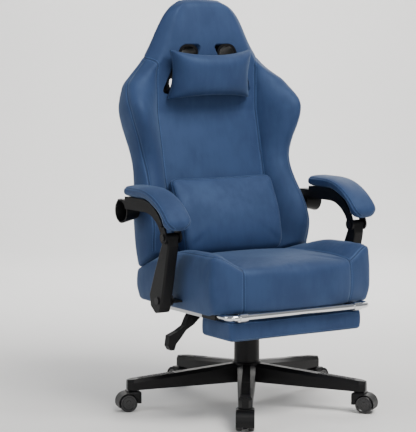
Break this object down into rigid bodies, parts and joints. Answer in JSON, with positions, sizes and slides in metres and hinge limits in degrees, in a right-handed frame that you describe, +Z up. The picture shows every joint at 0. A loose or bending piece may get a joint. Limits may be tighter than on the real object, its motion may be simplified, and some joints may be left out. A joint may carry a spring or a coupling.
{
  "type": "gaming chair",
  "caption": "Upholstered gaming chair with a winged reclining back, linked padded armrests, a head pillow, a sliding footrest and a castered star base.",
  "frame": {"origin": "point on the floor under the column axis", "axes": "+Z up, the sitter faces -Y, +X is the sitter's left"},
  "size_m": [0.735, 0.7065, 1.1435],
  "materials": {
    "blue_fabric": "soft short-pile upholstery cloth",
    "black_plastic": "satin moulded nylon",
    "wheel_plastic": "glossy moulded wheel",
    "black_steel": "black powder coat",
    "zinc_steel": "zinc plated",
    "chrome": "bright chrome",
    "plywood": "plain plywood",
    "elastic": "woven elastic band"
  },
  "bodies": {
    "base": {"star_base": "black_plastic", "foot_treads": "black_plastic", "caster_stems": "zinc_steel", "gas_tube": "black_steel", "cover_lower": "black_plastic"},
    "cover_middle": {"cover_middle": "black_plastic"},
    "lift": {"gas_rod": "chrome", "cover_upper": "black_plastic"},
    "mechanism": {"tilt_tray": "black_steel", "mechanism_pins": "zinc_steel", "tension_bolt": "zinc_steel"},
    "tension_knob": {"tension_knob": "black_plastic"},
    "height_lever": {"lever_rod": "black_steel", "lever_handle": "black_plastic"},
    "seat": {"seat_plate": "black_steel", "seat_pan": "plywood", "seat_bolts": "zinc_steel", "seat_cushion": "blue_fabric", "post_brackets": "black_steel", "recliner_plates": "black_steel", "recliner_pins": "zinc_steel", "footrest_rails": "zinc_steel", "rail_guides": "black_plastic"},
    "recline_lever": {"recline_lever": "black_plastic"},
    "footrest_frame": {"footrest_tube": "chrome", "tube_sliders": "black_plastic"},
    "footrest": {"footrest_pad": "blue_fabric", "footrest_board": "black_plastic"},
    "back": {"back_frame": "black_steel", "arm_pivot_pins": "zinc_steel", "back_cushion": "blue_fabric", "opening_bezels": "black_plastic", "lumbar_cushion": "blue_fabric"},
    "head_pillow": {"head_pillow": "blue_fabric", "head_strap": "elastic"},
    "caster_swivel_1": {"caster_hood_1": "black_plastic"},
    "caster_roll_1": {"caster_wheels_1": "wheel_plastic", "caster_axle_1": "zinc_steel"},
    "caster_swivel_2": {"caster_hood_2": "black_plastic"},
    "caster_roll_2": {"caster_wheels_2": "wheel_plastic", "caster_axle_2": "zinc_steel"},
    "caster_swivel_3": {"caster_hood_3": "black_plastic"},
    "caster_roll_3": {"caster_wheels_3": "wheel_plastic", "caster_axle_3": "zinc_steel"},
    "caster_swivel_4": {"caster_hood_4": "black_plastic"},
    "caster_roll_4": {"caster_wheels_4": "wheel_plastic", "caster_axle_4": "zinc_steel"},
    "caster_swivel_5": {"caster_hood_5": "black_plastic"},
    "caster_roll_5": {"caster_wheels_5": "wheel_plastic", "caster_axle_5": "zinc_steel"},
    "post_left": {"arm_post_left": "black_plastic"},
    "arm_left": {"arm_pad_left": "blue_fabric", "arm_plate_left": "black_plastic", "arm_frame_left": "black_plastic", "arm_pin_left": "zinc_steel"},
    "post_right": {"arm_post_right": "black_plastic"},
    "arm_right": {"arm_pad_right": "blue_fabric", "arm_plate_right": "black_plastic", "arm_frame_right": "black_plastic", "arm_pin_right": "zinc_steel"}
  },
  "joints": [
    {"name": "caster_swivel_1", "type": "hinge", "parent": "base", "child": "caster_swivel_1", "pos_m": [-0.18557, -0.27409, 0.057], "axis": [0, 0, 1], "continuous": true},
    {"name": "caster_roll_1", "type": "hinge", "parent": "caster_swivel_1", "child": "caster_roll_1", "pos_m": [-0.19622, -0.28982, 0.025], "axis": [0.8281, -0.5606, 0], "continuous": true},
    {"name": "caster_swivel_2", "type": "hinge", "parent": "base", "child": "caster_swivel_2", "pos_m": [0.20333, -0.26119, 0.057], "axis": [0, 0, 1], "continuous": true},
    {"name": "caster_roll_2", "type": "hinge", "parent": "caster_swivel_2", "child": "caster_roll_2", "pos_m": [0.215, -0.27618, 0.025], "axis": [0.7891, 0.6143, 0], "continuous": true},
    {"name": "caster_swivel_3", "type": "hinge", "parent": "base", "child": "caster_swivel_3", "pos_m": [0.31123, 0.11267, 0.057], "axis": [0, 0, 1], "continuous": true},
    {"name": "caster_roll_3", "type": "hinge", "parent": "caster_swivel_3", "child": "caster_roll_3", "pos_m": [0.3291, 0.11913, 0.025], "axis": [-0.3404, 0.9403, 0], "continuous": true},
    {"name": "caster_swivel_4", "type": "hinge", "parent": "base", "child": "caster_swivel_4", "pos_m": [-0.01097, 0.33082, 0.057], "axis": [0, 0, 1], "continuous": true},
    {"name": "caster_roll_4", "type": "hinge", "parent": "caster_swivel_4", "child": "caster_roll_4", "pos_m": [-0.0116, 0.34981, 0.025], "axis": [-0.9995, -0.0332, 0], "continuous": true},
    {"name": "caster_swivel_5", "type": "hinge", "parent": "base", "child": "caster_swivel_5", "pos_m": [-0.31802, 0.09179, 0.057], "axis": [0, 0, 1], "continuous": true},
    {"name": "caster_roll_5", "type": "hinge", "parent": "caster_swivel_5", "child": "caster_roll_5", "pos_m": [-0.33627, 0.09706, 0.025], "axis": [-0.2773, -0.9608, 0], "continuous": true},
    {"name": "seat_height", "type": "slide", "parent": "base", "child": "lift", "axis": [0, 0, 1], "range_m": [0, 0.08]},
    {"name": "cover_middle_slide", "type": "slide", "parent": "base", "child": "cover_middle", "axis": [0, 0, 1], "range_m": [0, 0.04]},
    {"name": "seat_swivel", "type": "hinge", "parent": "lift", "child": "mechanism", "pos_m": [0, 0, 0.259], "axis": [0, 0, 1], "continuous": true},
    {"name": "tension_turn", "type": "hinge", "parent": "mechanism", "child": "tension_knob", "pos_m": [0, -0.074, 0.212], "axis": [0, 0, 1], "continuous": true},
    {"name": "height_lever_lift", "type": "hinge", "parent": "mechanism", "child": "height_lever", "pos_m": [-0.04, 0, 0.281], "axis": [0, 1, 0], "range_deg": [0, 3.5], "stiffness_Nm_per_rad": 2},
    {"name": "rock", "type": "hinge", "parent": "mechanism", "child": "seat", "pos_m": [0, -0.058, 0.291], "axis": [-1, 0, 0], "range_deg": [0, 8], "stiffness_Nm_per_rad": 150, "springref_deg": -14.32},
    {"name": "footrest_slide", "type": "slide", "parent": "seat", "child": "footrest_frame", "axis": [0, -1, 0], "range_m": [0, 0.18]},
    {"name": "footrest_flip", "type": "hinge", "parent": "footrest_frame", "child": "footrest", "pos_m": [0, -0.266, 0.3], "axis": [-1, 0, 0], "range_deg": [0, 180]},
    {"name": "recline", "type": "hinge", "parent": "seat", "child": "back", "pos_m": [0, 0.179, 0.381], "axis": [-1, 0, 0], "range_deg": [0, 32]},
    {"name": "recline_lever_lift", "type": "hinge", "parent": "seat", "child": "recline_lever", "pos_m": [0.268, 0.177, 0.336], "axis": [-1, 0, 0], "range_deg": [0, 20], "stiffness_Nm_per_rad": 0.5},
    {"name": "head_pillow_slide", "type": "slide", "parent": "back", "child": "head_pillow", "axis": [0, 0.0303, 0.9995], "range_m": [-0.012, 0.02]},
    {"name": "post_left_swing", "type": "hinge", "parent": "seat", "child": "post_left", "pos_m": [0.31, -0.05431, 0.32874], "axis": [-1, 0, 0], "range_deg": [0, 32]},
    {"name": "arm_left_swing", "type": "hinge", "parent": "back", "child": "arm_left", "pos_m": [0.31, 0.135, 0.558], "axis": [-1, 0, 0], "range_deg": [-32, 0]},
    {"name": "post_right_swing", "type": "hinge", "parent": "seat", "child": "post_right", "pos_m": [-0.31, -0.05431, 0.32874], "axis": [-1, 0, 0], "range_deg": [0, 32]},
    {"name": "arm_right_swing", "type": "hinge", "parent": "back", "child": "arm_right", "pos_m": [-0.31, 0.135, 0.558], "axis": [-1, 0, 0], "range_deg": [-32, 0]}
  ],
  "couplings": [
    {"joint": "post_left_swing", "follows": "recline", "ratio": 1},
    {"joint": "arm_left_swing", "follows": "recline", "ratio": -1},
    {"joint": "post_right_swing", "follows": "recline", "ratio": 1},
    {"joint": "arm_right_swing", "follows": "recline", "ratio": -1},
    {"joint": "cover_middle_slide", "follows": "seat_height", "ratio": 0.5}
  ]
}
